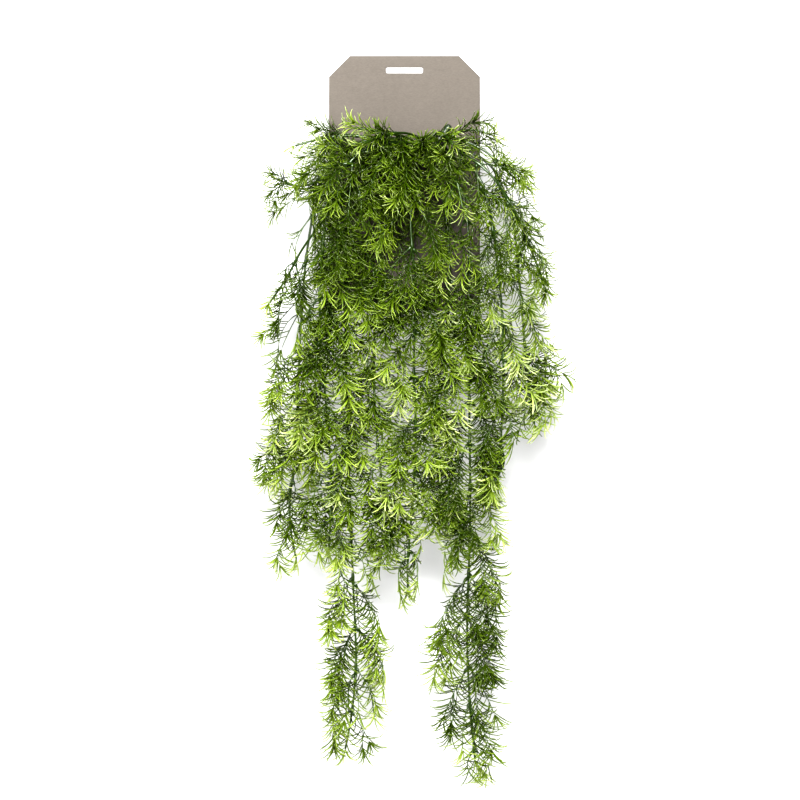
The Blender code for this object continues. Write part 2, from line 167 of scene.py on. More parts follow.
def tubes(centres, first, second, radii, sides):
    # Closed tubes, one for each row of centres. Round each centre but the last stands a ring, at centre +
    # radius * (cos * first + sin * second); the last centre is the tube's point, and its foot is capped.
    count, rings = centres.shape[0], centres.shape[1] - 1
    turn = 2 * math.pi * np.arange(sides) / sides
    around = (
        np.cos(turn)[:, None] * first[:, :rings, None] + np.sin(turn)[:, None] * second[:, :rings, None]
    )
    ringPoints = centres[:, :rings, None] + radii[:, :rings, None, None] * around
    points = np.concatenate([ringPoints.reshape(count, rings * sides, 3), centres[:, -1:]], axis=1)
    size = rings * sides + 1
    base = (np.arange(count) * size)[:, None, None]
    ring, side = base + np.arange(rings - 1)[:, None] * sides, np.arange(sides)
    after, last = (side + 1) % sides, (rings - 1) * sides
    walls = fourSided(ring, ring + sides, side, after)
    tips = base + np.stack([last + side, last + after, np.full(sides, size - 1)], axis=-1)
    feet = base[:, 0] + side[::-1]
    return points.reshape(-1, 3), [walls, tips.reshape(-1, 3), feet]


def tubeAlong(path, radii, sides, normal):
    # One closed tube along a path, its first ring turned towards normal
    slope = unit(np.gradient(path, axis=0))
    first, second = squareTo(slope, np.array(normal))
    return tubes(path[None], first[None], second[None], np.asarray(radii, float)[None], sides)


def perPoint(ringValues, sides):
    # A value for each ring, given to the points of a tube: as many times as the ring has sides, and 1 at the tip
    return np.concatenate([np.repeat(ringValues, sides), [1.0]])


def joined(parts):
    # Several (points, faceSets) as one, with the faces' numbers moved on
    allPoints, allFaces, before = [], [], 0
    for points, faceSets in parts:
        allPoints.append(points)
        allFaces += [faces + before for faces in faceSets]
        before += len(points)
    return np.concatenate(allPoints), allFaces


# Materials

def newMaterial(name):
    # A material, its node tree and its Principled shader
    material = bpy.data.materials.new(name)
    material.use_nodes = True
    return material, material.node_tree, material.node_tree.nodes["Principled BSDF"]


def setInputs(tree, node, inputs):
    # Each input gets its value, or a link from the socket that is given
    for key, value in inputs.items():
        if isinstance(value, bpy.types.NodeSocket):
            tree.links.new(value, node.inputs[key])
        else:
            node.inputs[key].default_value = value


def addNode(tree, kind, inputs=None, **settings):
    # A new node with its settings and inputs
    node = tree.nodes.new("ShaderNode" + kind)
    for key, value in settings.items():
        setattr(node, key, value)
    setInputs(tree, node, inputs or {})
    return node


def calculate(tree, operation, first, second=0.0, third=0.0):
    # What the operation gives for those numbers or sockets
    return addNode(tree, "Math", {0: first, 1: second, 2: third}, operation=operation).outputs[0]


def objectPlace(tree):
    # The object's own coordinates
    return addNode(tree, "TexCoord").outputs["Object"]


def attribute(tree, name):
    # The values of one of the mesh's own masks
    return addNode(tree, "Attribute", attribute_name=name).outputs["Fac"]


def mixColour(tree, factor, first, second, blend="MIX"):
    # Both are colours or sockets, and the factor is a number or a socket
    colours = [
        value if isinstance(value, bpy.types.NodeSocket) else (*value, 1) for value in (first, second)
    ]
    inputs = {0: factor, 6: colours[0], 7: colours[1]}
    return addNode(tree, "Mix", inputs, data_type="RGBA", blend_type=blend).outputs[2]


def speckleGroup():
    # Two sizes of noise as one mask, for mottling that any material can use: 0.6 coarse + 0.4 fine
    group = bpy.data.node_groups.new("speckle", "ShaderNodeTree")
    for name, kind in (("Vector", "Vector"), ("Coarse", "Float"), ("Fine", "Float")):
        group.interface.new_socket(name, in_out="INPUT", socket_type="NodeSocket" + kind)
    group.interface.new_socket("Mask", in_out="OUTPUT", socket_type="NodeSocketFloat")
    entry, leave = group.nodes.new("NodeGroupInput"), group.nodes.new("NodeGroupOutput")
    coarse, fine = (
        addNode(
            group, "TexNoise", {"Vector": entry.outputs["Vector"], "Scale": entry.outputs[scale], "Detail": detail}
        ).outputs["Fac"]
        for scale, detail in (("Coarse", 3.0), ("Fine", 2.0))
    )
    total = calculate(group, "MULTIPLY_ADD", coarse, 0.6, calculate(group, "MULTIPLY", fine, 0.4))
    group.links.new(total, leave.inputs["Mask"])
    return group


def speckle(tree, vector, coarse, fine):
    # The speckle group's mask, placed in a material with its own two scales
    inputs = {"Vector": vector, "Coarse": coarse, "Fine": fine}
    return addNode(tree, "Group", inputs, node_tree=speckles).outputs["Mask"]


def ramp(tree, value, stops):
    # A colour ramp with a stop at each (position, colour or grey)
    node = addNode(tree, "ValToRGB", {0: value})
    elements = node.color_ramp.elements
    while len(elements) < len(stops):
        elements.new(0.5)
    for element, (position, colour) in zip(elements, stops):
        element.position = position
        element.color = (*(colour if isinstance(colour, tuple) else (colour,) * 3), 1)
    return node.outputs[0]


def bump(tree, height, strength, distance):
    # A normal raised by the height
    return addNode(tree, "Bump", {"Height": height, "Strength": strength, "Distance": distance}).outputs["Normal"]


def plasticMaterial(name, look):
    # Plain moulded plastic: its colour times a faint mottle, and a little relief
    material, tree, shader = newMaterial(name)
    mask = speckle(tree, objectPlace(tree), look["grain"], look["grain"] * 8)
    shade = ramp(tree, mask, [(0.3, 0.75), (0.7, 1.1)])
    setInputs(tree, shader, {
        "Base Color": mixColour(tree, 1.0, look["colour"], shade, "MULTIPLY"),
        "Normal": bump(tree, mask, 0.3, 0.0003),
        "Roughness": look["roughness"],
    })
    return material


# The card

card = dict(
    width=151.0, height=254.5, thickness=1.5, cornerCut=21.0, topToSlot=11.5,
    slotWidth=37.0, slotHeight=6.0, slotCorner=1.8, edgeRound=0.22,
    colour=(0.099, 0.0875, 0.0755), dark=(0.066, 0.0575, 0.049), edge=(0.167, 0.147, 0.126), roughness=0.86,
    clouds=(22, 160), fibres=(420, 1500), fibreStretch=4, relief=0.35,
)


def boardMaterial():
    # Uncoated greyboard: faint clouds and short fibres, paler at its cut edges
    material, tree, shader = newMaterial("greyboard")
    at = objectPlace(tree)
    clouds = speckle(tree, at, *card["clouds"])
    stretch = addNode(tree, "Mapping", {"Vector": at, "Scale": (1, 1, card["fibreStretch"])})
    fibres = speckle(tree, stretch.outputs["Vector"], *card["fibres"])
    colour = mixColour(tree, ramp(tree, clouds, [(0.3, 0), (0.75, 0.3)]), card["colour"], card["dark"])
    colour = mixColour(tree, 1.0, colour, ramp(tree, fibres, [(0.32, 0.84), (0.6, 1.03)]), "MULTIPLY")
    facing = addNode(tree, "SeparateXYZ", {0: addNode(tree, "NewGeometry").outputs["Normal"]})
    flat = calculate(tree, "ABSOLUTE", facing.outputs["Y"])
    cut = ramp(tree, flat, [(0.5, 1), (0.9, 0)])
    setInputs(tree, shader, {
        "Base Color": mixColour(tree, cut, colour, card["edge"]),
        "Normal": bump(tree, fibres, card["relief"], 0.0002),
        "Roughness": card["roughness"],
        "Specular IOR Level": 0.25,
    })
    return material


def slotOutline():
    # A rectangle whose corners are quarter circles
    radius = card["slotCorner"]
    x, z = card["slotWidth"] / 2 - radius, card["slotHeight"] - radius
    outline = []
    for number, (cornerX, cornerZ) in enumerate(((x, -radius), (-x, -radius), (-x, -z), (x, -z))):
        angles = math.radians(90 * number) + np.linspace(0, math.pi / 2, 7)
        outline += list(zip(cornerX + radius * np.cos(angles), cornerZ + radius * np.sin(angles)))
    return outline


def tieHoles():
    # The two oblongs that the tie's strap goes through, either side of the trunk
    inner, outer = neck["trunkRadius"], neck["trunkRadius"] + tie["thickness"] + 2 * gap
    middle = place(neck["knobAt"][0], 0, neck["knobAt"][2]) + tie["along"] * trunkDirection()
    along, side = trunkDirection(), np.array([math.cos(neck["trunkSlant"]), 0, -math.sin(neck["trunkSlant"])])
    halfWidth = tie["width"] / 2 + gap
    for near, far in ((inner, outer), (-outer, -inner)):
        corners = ((near, -halfWidth), (far, -halfWidth), (far, halfWidth), (near, halfWidth))
        yield [(middle + s * side + a * along)[[0, 2]] for s, a in corners]


def makeCard(material):
    # A flat outline with its slot and the tie's two holes, given its thickness and rounded edges
    half, top = card["width"] / 2, card["topToSlot"]
    cut, low = card["cornerCut"], card["topToSlot"] - card["height"]
    board = [(-half, low), (half, low), (half, top - cut), (half - cut, top), (cut - half, top), (-half, top - cut)]
    curve = bpy.data.curves.new("headerCard", "CURVE")
    curve.dimensions, curve.fill_mode = "2D", "BOTH"
    curve.bevel_depth = card["edgeRound"] * mm
    curve.offset = -curve.bevel_depth
    curve.extrude = (card["thickness"] / 2 - card["edgeRound"]) * mm
    curve.bevel_resolution = 2
    for outline in (board, slotOutline(), *tieHoles()):
        spline = curve.splines.new("POLY")
        spline.points.add(len(outline) - 1)
        spline.points.foreach_set("co", np.array([(p[0] * mm, p[1] * mm, 0, 1) for p in outline]).ravel())
        spline.use_cyclic_u = True
    helper = addObject("outline", curve)
    mesh = bpy.data.meshes.new_from_object(helper.evaluated_get(bpy.context.evaluated_depsgraph_get()))
    bpy.data.objects.remove(helper)
    bpy.data.curves.remove(curve)
    mesh.transform(Matrix.Rotation(math.radians(90), 4, "X"))
    # Its doubles are welded and its faces turned outwards
    work = bmesh.new()
    work.from_mesh(mesh)
    bmesh.ops.remove_doubles(work, verts=work.verts, dist=0.01 * mm)
    bmesh.ops.recalc_face_normals(work, faces=work.faces)
    work.to_mesh(mesh)
    work.free()
    mesh.name = "headerCard"
    mesh.shade_smooth()
    mesh.set_sharp_from_angle(angle=math.radians(40))
    mesh.materials.clear()
    mesh.materials.append(material)
    addPiece("headerCard", mesh, ["card"])


# The neck

neck = dict(
    knobRadius=9.5, knobAt=(22.0, 9.8, 90.0), normal=(0.3, 0.95, 0.1),
    trunkRadius=3.4, trunkLength=40.0, trunkBend=11, trunkSlant=math.radians(36), trunkEnd=(0.97, 0.85, 0.6, 0),
    beads=9, beadGirth=(0.93, 0.07),
    sleeveLength=5.0, sleeveRadius=2.3, sleeveGirths=(1, 1.12, 1.12, 1.06, 0.98, 0.9, 0.84, 0.8, 0),
    colour=(0.018, 0.032, 0.012), roughness=0.42, grain=240,
)


def trunkDirection():
    # Down the card, and slanted to the right
    return np.array([math.sin(neck["trunkSlant"]), 0.0, math.cos(neck["trunkSlant"])])


def trunkPath():
    # From the knob's middle to the card, and then along it
    knob = place(*neck["knobAt"])
    lying = place(neck["knobAt"][0], neck["trunkRadius"] + gap, neck["knobAt"][2])
    return np.array([knob, *(lying + neck[run] * trunkDirection() for run in ("trunkBend", "trunkLength"))])


def makeNeck(leaving, material):
    # A round knob, its trunk whose radius swells and shrinks as a cosine, and a sleeve round each stem's foot
    knob, radius, normal = place(*neck["knobAt"]), neck["knobRadius"], neck["normal"]
    angle = np.linspace(0.02, math.pi, 18)
    column = knob + np.outer(-np.cos(angle) * radius, (0, 0, 1))
    parts = [tubeAlong(column, np.sin(angle) * radius, 32, normal)]
    along, (girth, swell) = np.linspace(0, 1, 61), neck["beadGirth"]
    radii = neck["trunkRadius"] * (girth + swell * np.cos(along * 2 * math.pi * neck["beads"]))
    radii[-4:] *= neck["trunkEnd"]
    parts.append(tubeAlong(evenly(trunkPath(), 60), radii, 28, normal))
    sleeve = neck["sleeveRadius"] * np.array(neck["sleeveGirths"])
    reach = np.linspace(radius - 2, radius + neck["sleeveLength"], len(sleeve))[:, None]
    parts += [tubeAlong(knob + reach * direction, sleeve, 14, normal) for direction in leaving]
    makePiece("neckMoulding", *joined(parts), [material], ["bush_neck"], "dark_plastic")


# The tie

tie = dict(
    along=22.0, width=3.6, thickness=1.2, head=(4.9, 6.4, 4.6), headMiddle=-2.2, tail=7.0, cornerRadius=0.6,
    squareness=0.35, colour=(0.012, 0.012, 0.013), roughness=0.36, grain=500,
)


def power(value, exponent):
    # A number's size raised to the exponent, with the number's own sign
    return np.sign(value) * np.abs(value) ** exponent


def roundedBox(low, high, squareness=0.22, rows=18, columns=32):
    # A superellipsoid: each coordinate is half the box's size times sine or cosine raised to squareness
    low, high = np.array(low, float), np.array(high, float)
    up = np.linspace(-math.pi / 2, math.pi / 2, rows + 1)[1:-1, None]
    turn = np.linspace(0, 2 * math.pi, columns, endpoint=False)[None]
    shape = np.stack([
        power(np.cos(up), squareness) * power(np.cos(turn), squareness),
        power(np.cos(up), squareness) * power(np.sin(turn), squareness),
        power(np.sin(up), squareness) * np.ones_like(turn),
    ], axis=-1)
    poles = np.array([(0, 0, -1), (0, 0, 1)], float)
    points = np.concatenate([shape.reshape(-1, 3), poles]) * (high - low) / 2 + (high + low) / 2
    ring, side = np.arange(rows - 2)[:, None] * columns, np.arange(columns)
    after = (side + 1) % columns
    walls = fourSided(ring, ring + columns, side, after)
    count, last = (rows - 1) * columns, (rows - 2) * columns
    lower = np.stack([after, side, np.full(columns, count)], axis=-1)
    upper = np.stack([last + side, last + after, np.full(columns, count + 1)], axis=-1)
    return points, [walls, lower, upper]


def strap():
    # A rounded oblong carried round a closed loop: half a circle over the trunk and a flat back behind the card
    inner, soft, sides = neck["trunkRadius"] + gap, tie["cornerRadius"], 16
    middle = inner + tie["thickness"] / 2
    behind = card["thickness"] + neck["trunkRadius"] + 2 * gap + tie["thickness"] / 2
    arc, corner = np.linspace(0, math.pi, 25), np.linspace(0, math.pi / 2, 5)[1:]
    loop = np.concatenate([
        np.stack([middle * np.cos(arc), -middle * np.sin(arc)], axis=1),
        [(-middle, behind * 0.5), (-middle, behind - soft)],
        np.stack([-middle + soft * (1 - np.cos(corner)), behind - soft + soft * np.sin(corner)], axis=1),
        [(0, behind), (middle - soft, behind)],
        np.stack([middle - soft + soft * np.sin(corner), behind - soft + soft * np.cos(corner)], axis=1),
        [(middle, behind * 0.5)],
    ])
    centre = np.concatenate([loop, np.zeros((len(loop), 1))], axis=1)
    slope = unit(np.roll(centre, -1, axis=0) - np.roll(centre, 1, axis=0))
    outwards = np.cross(slope, (0, 0, 1))
    turn = 2 * math.pi * np.arange(sides) / sides
    across = power(np.cos(turn), tie["squareness"]) * tie["width"] / 2
    thick = power(np.sin(turn), tie["squareness"]) * tie["thickness"] / 2
    points = (
        centre[:, None] + across[None, :, None] * np.array((0, 0, 1.0)) + thick[None, :, None] * outwards[:, None]
    )
    ring, side = np.arange(len(loop))[:, None], np.arange(sides)
    nextRing, after = (ring + 1) % len(loop), (side + 1) % sides
    return points.reshape(-1, 3), [fourSided(ring * sides, nextRing * sides, side, after)]


def makeTie(material):
    # The strap, its head and its tail, turned to lie across the trunk
    outer, half = neck["trunkRadius"] + gap + tie["thickness"], tie["width"] / 2
    headAcross, headOut, headAlong = tie["head"]
    near, far = tie["headMiddle"] - headOut / 2, tie["headMiddle"] + headOut / 2
    head = roundedBox((-outer - headAcross + 1, near, -headAlong / 2), (-outer + 1, far, headAlong / 2))
    tail = roundedBox((-outer - 2, near - tie["tail"], 0.4 - half), (-outer - 0.8, tie["headMiddle"], half - 0.4))
    points, faces = joined([strap(), head, tail])
    turned = np.array(Matrix.Rotation(neck["trunkSlant"], 3, "Y"))
    at = place(neck["knobAt"][0], neck["trunkRadius"] + gap, neck["knobAt"][2]) + tie["along"] * trunkDirection()
    makePiece("cableTie", points @ turned.T + at, faces, [material], ["tie"], "black_nylon")


# The plan of the bush, which is the solids' own

stemPlan = dict(
    step=30.0, radius=1.5, startSpacing=4.8, firstStation=30.0, stationStep=44.0, lastStation=10, tries=30,
    clearance=0.5, seed=11, rounds=200, pushShare=0.3, straight=6,
)
sprayPlan = dict(
    radius=1.1, rings=(0, 0.45, 0.85), knee=0.45, droop=0.28, inFront=3.0, forward=0.5,
    turn=1.25, turnStep=0.35, turnSpread=(-0.35, 0.35), opening=(0.55, 0.95), size=(0.8, 1.15), lastLoss=0.45,
    runSpread=(-5, 5), tryRun=1.5, tryTurn=0.25, tryOpening=0.1, trySize=0.985,
)

# Each stem's route from the knob, the length of its sprays, and the sprays that reach further out
stems = {
    "stem_left_brow": dict(spray=32, reach=[(0.50, (-92, 16, 54)), (0.60, (-95, 13, 99))], route=[
        (-4, 13, 80), (-40, 12, 70), (-74, 14, 71), (-96, 15, 75), (-110, 16, 80),
    ]),
    "stem_left_top": dict(spray=22, route=[(2, 30, 73), (-26, 38, 67), (-52, 42, 64)]),
    "stem_left_outer": dict(spray=54, reach=[
        (0.47, (-152, 22, 268)), (0.59, (-147, 20, 333)), (0.71, (-153, 20, 392)),
    ], route=[
        (-8, 40, 76), (-50, 46, 82), (-84, 42, 130), (-98, 36, 200), (-104, 31, 290), (-108, 27, 380),
        (-114, 25, 445), (-107, 24, 492),
    ]),
    "stem_left_spread": dict(spray=32, reach=[(0.66, (-128, 40, 148))], route=[
        (-10, 52, 88), (-50, 62, 92), (-90, 52, 121), (-116, 42, 118), (-128, 38, 114),
    ]),
    "stem_left_sweep": dict(spray=36, reach=[(0.88, (-124, 42, 252))], route=[
        (-2, 64, 98), (-46, 78, 112), (-76, 70, 152), (-100, 56, 184), (-116, 46, 212), (-134, 40, 238),
    ]),
    "stem_left_fill": dict(spray=54, route=[
        (4, 64, 80), (-44, 86, 92), (-72, 84, 140), (-82, 74, 210), (-82, 62, 280), (-76, 52, 350), (-72, 44, 420),
        (-75, 38, 480),
    ]),
    "stem_left_long": dict(spray=64, route=[
        (-6, 34, 104), (-36, 56, 116), (-54, 62, 160), (-58, 56, 230), (-57, 46, 320), (-54, 40, 420),
        (-51, 34, 510), (-48, 30, 590), (-52, 28, 640), (-59, 27, 680),
    ]),
    "stem_inner_left": dict(spray=54, route=[
        (3, 26, 116), (-16, 36, 152), (-28, 38, 230), (-30, 36, 320), (-24, 34, 400), (-14, 32, 460),
        (-10, 31, 482),
    ]),
    "stem_centre": dict(spray=54, route=[
        (15, 56, 104), (6, 70, 150), (11, 62, 232), (9, 52, 300), (11, 44, 360), (8, 38, 430), (3, 32, 495),
        (3, 30, 520),
    ]),
    "stem_front_left": dict(spray=24, route=[(8, 56, 72), (-16, 84, 74), (-42, 102, 86)]),
    "stem_front_low": dict(spray=24, route=[(24, 48, 124), (10, 78, 126), (-8, 92, 140)]),
    "stem_front_right": dict(spray=22, route=[(28, 54, 74), (38, 78, 72), (48, 92, 86)]),
    "stem_front_right_low": dict(spray=26, route=[(34, 50, 108), (48, 76, 114), (57, 82, 148)]),
    "stem_inner_right": dict(spray=50, route=[
        (34, 27, 118), (42, 38, 162), (44, 40, 230), (36, 38, 300), (29, 36, 370), (36, 34, 430), (35, 33, 456),
    ]),
    "stem_right_long": dict(spray=76, reach=[(0.95, (76, 25, 698))], route=[
        (42, 20, 100), (58, 32, 130), (64, 40, 190), (64, 40, 260), (64, 37, 350), (65, 33, 450), (62, 30, 550),
        (64, 28, 622), (70, 27, 691),
    ]),
    "stem_right_mid": dict(spray=52, route=[
        (48, 42, 94), (76, 58, 120), (90, 56, 190), (97, 48, 270), (96, 42, 350), (93, 37, 412),
    ]),
    "stem_right_fall": dict(spray=42, reach=[(0.62, (134, 48, 165)), (0.78, (148, 44, 194))], route=[
        (46, 58, 88), (80, 74, 108), (108, 66, 150), (127, 54, 192), (140, 44, 228),
    ]),
    "stem_right_outer": dict(spray=50, reach=[
        (0.64, (152, 26, 277)), (0.75, (169, 25, 306)), (0.83, (152, 25, 342)),
    ], route=[
        (44, 18, 84), (82, 24, 96), (106, 29, 150), (115, 30, 230), (121, 29, 300), (129, 27, 358),
    ]),
    "stem_right_spread": dict(spray=34, reach=[(0.66, (127, 32, 103))], route=[
        (40, 36, 74), (74, 44, 84), (104, 42, 110), (126, 36, 127),
    ]),
    "stem_right_high": dict(spray=22, route=[(38, 26, 74), (56, 30, 66), (74, 34, 66), (88, 35, 71)]),
}


def segmentDistance(a, b, c, d):
    # The least distance between each segment a-b and each segment c-d, as a table
    u, v = (b - a)[:, None], (d - c)[None]
    w = a[:, None] - c[None]
    uu, vv, uv = (u * u).sum(-1), (v * v).sum(-1), (u * v).sum(-1)
    uw, vw = (u * w).sum(-1), (v * w).sum(-1)
    s = np.clip((uv * vw - vv * uw) / np.maximum(uu * vv - uv**2, 1e-9), 0, 1)
    t = np.clip((uv * s + vw) / vv, 0, 1)
    s = np.clip((uv * t - uw) / uu, 0, 1)
    return np.linalg.norm(w + s[..., None] * u - t[..., None] * v, axis=-1)


class Room:
    # The segments that are taken, each a row: its start, its end, its radius and the number of its stem

    def __init__(self):
        self.taken = np.empty((0, 8))

    def take(self, path, radius, stem):
        rows = np.column_stack([path[:-1], path[1:], np.full((len(path) - 1, 2), (radius, stem))])
        self.taken = np.vstack([self.taken, rows])

    def isClear(self, path, radius, stem):
        others = self.taken[self.taken[:, 7] != stem]
        apart = segmentDistance(path[:-1], path[1:], others[:, :3], others[:, 3:6])
        return bool((apart > others[:, 6] + radius + stemPlan["clearance"]).all())


def stemRoutes():
    # The stems leave the knob towards their first points, pushed apart there until they are startSpacing apart
    knob = place(*neck["knobAt"])
    given = [np.array([place(*p) for p in stem["route"]]) for stem in stems.values()]
    leaving = unit(np.array([points[0] for points in given]) - knob)
    for _ in range(stemPlan["rounds"]):
        apart = leaving[:, None] - leaving[None]
        distance = np.linalg.norm(apart, axis=-1) + np.eye(len(leaving))
        push = np.clip(stemPlan["startSpacing"] / neck["knobRadius"] - distance, 0, None) / distance
        push[np.eye(len(leaving), dtype=bool)] = 0
        leaving = unit(leaving + stemPlan["pushShare"] * (push[..., None] * apart).sum(axis=1))
    starts = knob + (neck["knobRadius"] + gap) * leaving
    bends = starts + stemPlan["straight"] * leaving
    routes = [
        np.vstack([start, smoothThrough([bend, *points], stemPlan["step"])])
        for start, bend, points in zip(starts, bends, given)
    ]
    return routes, leaving


def sprayCurve(route, run, turn, opening, length):
    # A side spray's start, knee and tip: it leaves the stem at that angle and turn, and droops
    start, direction = atRun(route, run)
    forward = np.array([0.0, -1.0, 0.0])
    forward = unit(forward - direction * (forward @ direction) + np.array([0.0, 0.0, 1e-3]))
    right = np.cross(forward, direction)
    sideways = forward * math.cos(turn) + right * math.sin(turn)
    leaving = direction * math.cos(opening) + sideways * math.sin(opening)
    tip = start + length * unit(leaving - np.array([0, 0, sprayPlan["droop"]]))
    return np.array([start, start + leaving * sprayPlan["knee"] * np.linalg.norm(tip - start), tip])


def planBush():
    # The stems' routes, and for each spray its stem, how far along it leaves, and its start, knee and tip. A spray
    # that isn't clear of the other stems is tried again a little further on, turned and shortened.
    plan, draw, room = sprayPlan, np.random.default_rng(stemPlan["seed"]), Room()
    room.take(trunkPath(), neck["trunkRadius"] + 1.5, -1)
    routes, leaving = stemRoutes()
    for owner, route in enumerate(routes):
        room.take(route, stemPlan["radius"], owner)
    rings = np.array(plan["rings"])[:, None]
    sprays = []
    for owner, (stem, route) in enumerate(zip(stems.values(), routes)):
        for share, tip in stem.get("reach", []):
            run = share * runOf(route)[-1]
            start, direction = atRun(route, run)
            goal = place(*tip)
            towards = unit(unit(goal - start) + plan["forward"] * direction)
            curve = np.array([start, start + towards * plan["knee"] * np.linalg.norm(goal - start), goal])
            room.take(bend(*curve, rings)[0], plan["radius"], owner)
            sprays.append((owner, run, curve))
    for owner, (stem, route) in enumerate(zip(stems.values(), routes)):
        length = runOf(route)[-1]
        last = length - stemPlan["lastStation"]
        stations = np.arange(stemPlan["firstStation"], last, stemPlan["stationStep"])
        for number, station in enumerate(stations):
            for side in range(3 if number % 5 == 2 else 2):
                turn = (1, -1, 0)[side] * (plan["turn"] + plan["turnStep"] * (number % 3 - 1))
                turn = turn + draw.uniform(*plan["turnSpread"])
                opening = draw.uniform(*plan["opening"])
                shorter = 1 - plan["lastLoss"] * (station / length) ** 4
                size = stem["spray"] * draw.uniform(*plan["size"]) * shorter
                run = station + draw.uniform(*plan["runSpread"])
                for attempt in range(stemPlan["tries"]):
                    curve = sprayCurve(
                        route,
                        run + plan["tryRun"] * attempt,
                        turn + plan["tryTurn"] * attempt * (-1) ** attempt,
                        opening + plan["tryOpening"] * math.sin(2.4 * attempt),
                        size * plan["trySize"] ** attempt,
                    )
                    path = bend(*curve, rings)[0]
                    inFront = (-path[:, 1] - card["thickness"] / 2 > plan["inFront"]).all()
                    if inFront and room.isClear(path, plan["radius"], owner):
                        room.take(path, plan["radius"], owner)
                        sprays.append((owner, run + plan["tryRun"] * attempt, curve))
                        break
    return routes, leaving, sprays


# The leafy stems: what is finer here than in the solids

stemLook = dict(
    radius=(1.3, 1.0), step=3.0, sides=8, normal=(0.31, 0.95, 0.07), knuckle=0.7, knuckleLength=3.0, youthShadeSheen=0.4,
    old=(0.008, 0.020, 0.002), new=(0.05, 0.10, 0.004), gloss=(0.9, 1.0, 0.85), roughness=0.3, specular=0.6,
    grain=(90, 900),
)
sprayLook = dict(
    radius=(0.62, 0.3), rings=(0, 0.03, 0.07, 0.11, 0.15, 0.2, 0.35, 0.5, 0.65, 0.8, 0.9, 1), socket=1.35, sides=6,
    socketPlace=(0.075, 0.055), margin=8, needlesFrom=0.18,
)
branchletLook = dict(
    shares=(0.1, 0.15, 0.28, 0.43, 0.58, 0.72), hang=(2.6, 1.5, 0.8, 1.2, 0.8, 1.0), reach=(1.35, 1.2, 1, 1, 1, 1),
    length=40.0, onSpray=52, shortest=22.0, longest=46.0, fromFoot=(1.12, 0.5), aim=(0.8, 0.35), opening=0.75,
    knee=0.45, margin=9, insideTo=0.6, middle=5,
    radius=(0.45, 0.25), rings=(0, 0.12, 0.3, 0.5, 0.7, 0.85, 1), socket=0.25, sides=4, needlesFrom=0.12,
    shareSpread=(-0.04, 0.04), turnSpread=(-0.75, 0.75), openingSpread=(0.75, 1.2), sizeSpread=(0.75, 1.15),
    hangSpread=(0.5, 1.5), youthSpread=(0.7, 1.1),
    kept=[
        (40, 0.2), (150, 0.22), (260, 0.38), (330, 0.38), (460, 0.27), (520, 0.4), (600, 0.5), (660, 0.5),
        (690, 0.35), (720, 0.2),
    ],
    keptOutside=[(95, 1), (135, 0.7)],
)
needleLook = dict(
    spacing=(2.15, 2.55), length=(20.5, 22.5), radius=(0.5, 0.64), openingAtFoot=(0.68, 1.0),
    openingAtTip=(0.38, 0.6), opensBelow=(190, 300), slender=[(-125, 0.85), (-85, 0.92), (80, 1.0), (110, 1.05)],
    fewest=4, tuft=8, tuftAt=0.985, tuftOpening=(0.08, 0.8), curl=(0.4, 1.5),
    normal=(0.05, -1.0, 0.12), turn=math.radians(137.508), turnByLine=2.1, flatness=0.4,
    rings=(0, 0.4, 0.68, 0.9), girths=(0.8, 1.0, 0.95, 0.75, 0), overEdge=4.0, margin=0.9, leastRoom=0.75,
    thinning=0.35, inClearing=0.6, seed=5,
    turnSpread=(-0.25, 0.25), openingSpread=(-0.18, 0.18), lengthSpread=(0.8, 1.16), radiusSpread=(0.85, 1.12),
    # From dark old needles to lime young ones. The upper stops are whiter and bluer than lime: partly the needles'
    # own pale tips, partly painted highlight that stands in for their pale reflection
    shades=[
        (0.0, (0.018, 0.036, 0.0008)), (0.2, (0.062, 0.102, 0.0035)), (0.42, (0.160, 0.228, 0.022)),
        (0.7, (0.285, 0.352, 0.105)), (1.0, (0.46, 0.49, 0.32)),
    ],
    tones=[(0, (0.5, 0.56, 0.45)), (0.5, (0.88, 0.9, 0.82)), (1, (1.15, 1.12, 0.9))],
    gloss=(1.0, 1.0, 0.8), roughness=0.27, specular=0.55,
)
# How young a spray is: a draw raised to a power, more further down and less in front, and less among the inner ones
# close to the card, high up near the middle, which is painted shade. The needles along it reach that youth over the
# second share of its line, after the first. Along each needle it is darker at the foot and paler at the tip: partly
# the needles' own airbrushed tips, partly painted shade at the foot and painted highlight at the tip.
youthShadeSheenLook = dict(
    power=[(130, 2.2), (320, 1.0)], down=[(130, 0.7), (300, 1.05)], out=[(50, 1), (90, 0.8)], least=0.1,
    innerShade=0.55, innerShadeOut=[(20, 1), (50, 0)], innerShadeDown=[(180, 1), (300, 0)], innerShadeSide=[(75, 1), (95, 0)],
    stemTip=0.8, grows=(0.15, 0.7), foot=0.5, along=0.4, tip=0.27, twigs=(0.1, 0.75),
)
# The bush's edge as seen from the front: its top by how far right, its sides by how far down
edge = dict(
    crown=[
        (-160, 103), (-130, 98), (-117, 71), (-104, 46), (-60, 42), (-42, 40), (-26, 50), (-12, 66), (-2, 74),
        (4, 73), (11, 69), (23, 69), (31, 72), (37, 68), (50, 54), (64, 44), (82, 46), (96, 60), (110, 92),
        (140, 99), (155, 190), (172, 300),
    ],
    left=[
        (40, -100), (68, -117), (100, -140), (130, -148), (168, -131), (188, -118), (208, -128), (230, -151),
        (280, -153), (308, -138), (350, -149), (390, -156), (430, -150), (450, -143), (490, -140), (510, -128),
        (530, -104), (545, -88), (566, -86), (580, -102), (592, -100), (606, -84), (720, -80),
    ],
    right=[
        (40, 80), (68, 95), (88, 128), (150, 135), (188, 150), (228, 150), (248, 144), (270, 152), (300, 170),
        (320, 168), (350, 154), (368, 144), (380, 108), (395, 98), (430, 98), (450, 107), (510, 105), (720, 106),
    ],
    room=12.0, inFront=4.0, tails=(-55.0, 74.0), tailsPart=10,
    tailSide=[(590, 60), (615, 42), (650, 34), (670, 22), (690, 10), (716, 4)],
)
